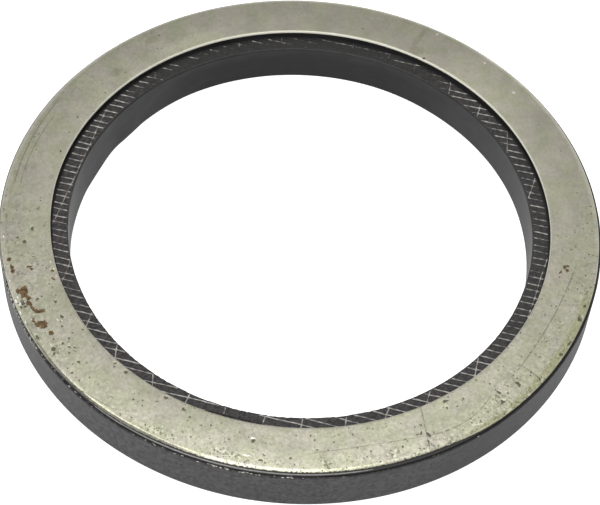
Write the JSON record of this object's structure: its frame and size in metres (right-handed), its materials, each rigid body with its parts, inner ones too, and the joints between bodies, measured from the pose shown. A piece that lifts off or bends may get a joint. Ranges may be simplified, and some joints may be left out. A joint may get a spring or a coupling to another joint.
{
  "type": "metal cased ring seal",
  "caption": "Pressed steel cased ring seal holding a cord-reinforced packing ring, pressed into a housing to seal round a shaft.",
  "frame": {"origin": "centre of the underside, on the seal's axis", "axes": "+Z along the axis, from the underside to the steel face; +X and +Y lie in the underside"},
  "size_m": [0.18, 0.18, 0.016],
  "materials": {
    "outer_case": "dark, lightly streaked",
    "inner_case": "pale, worn, pitted and spotted with rust",
    "packing_ring": "smooth and dull",
    "cord_ply": "dark skin with pale cut cords"
  },
  "bodies": {
    "root": {"outer_case": "outer_case", "inner_case": "inner_case", "packing_ring": "packing_ring", "cord_ply": "cord_ply"}
  },
  "joints": []
}
